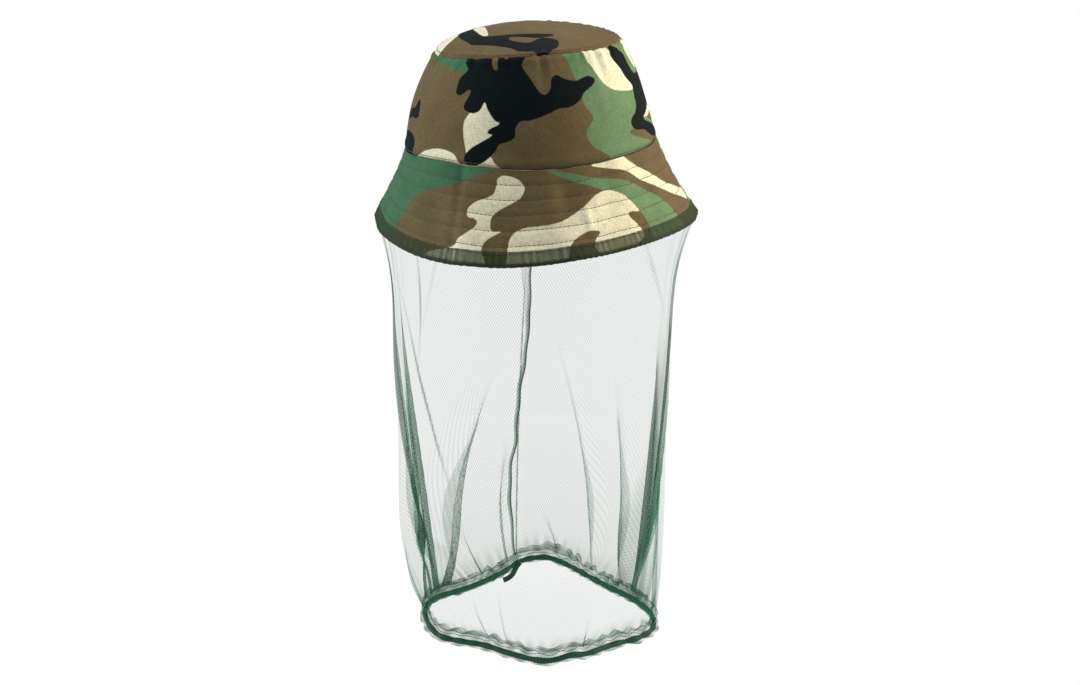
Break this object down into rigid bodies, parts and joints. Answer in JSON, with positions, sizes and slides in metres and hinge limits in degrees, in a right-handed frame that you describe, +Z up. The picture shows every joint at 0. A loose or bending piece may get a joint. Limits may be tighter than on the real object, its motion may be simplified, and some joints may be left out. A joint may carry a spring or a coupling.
{
  "type": "beekeeping veil",
  "caption": "Soft cotton bucket hat with a fine net veil hanging from its brim to an elastic hem that sits round the neck.",
  "frame": {"origin": "centre of the head opening, in the plane of the seam between the crown and the brim", "axes": "+Z up towards the crown, -Y the way the wearer faces, +X the wearer's left"},
  "size_m": [0.2431, 0.2432, 0.4928],
  "materials": {
    "camouflage_cotton": "plain weave cotton, woodland print in brown, green, cream and near black",
    "interlining": "nonwoven",
    "twill_tape": "twill weave",
    "net": "knitted tulle, see-through",
    "thread": "spun polyester thread",
    "elastic": "braided elastic"
  },
  "bodies": {
    "hat": {"crown_tip": "camouflage_cotton", "crown_side_front": "camouflage_cotton", "crown_side_back": "camouflage_cotton", "sweatband": "twill_tape", "brim_top_front": "camouflage_cotton", "brim_top_back": "camouflage_cotton", "brim_interlining": "interlining", "brim_under_front": "camouflage_cotton", "brim_under_back": "camouflage_cotton", "brim_binding": "net", "tip_stitching": "thread", "crown_base_stitching": "thread", "brim_stitching": "thread", "binding_stitching": "thread", "veil_net": "net", "veil_back_seam": "net", "veil_seam_stitching": "thread"},
    "hem": {"hem_casing": "net", "elastic_band": "elastic", "elastic_tail": "elastic", "hem_stitching": "thread"}
  },
  "joints": [
    {"name": "hem_lift", "type": "slide", "parent": "hat", "child": "hem", "axis": [0, 0, 1], "range_m": [0, 0.25], "deforming": ["veil_net", "veil_back_seam", "veil_seam_stitching"]}
  ]
}
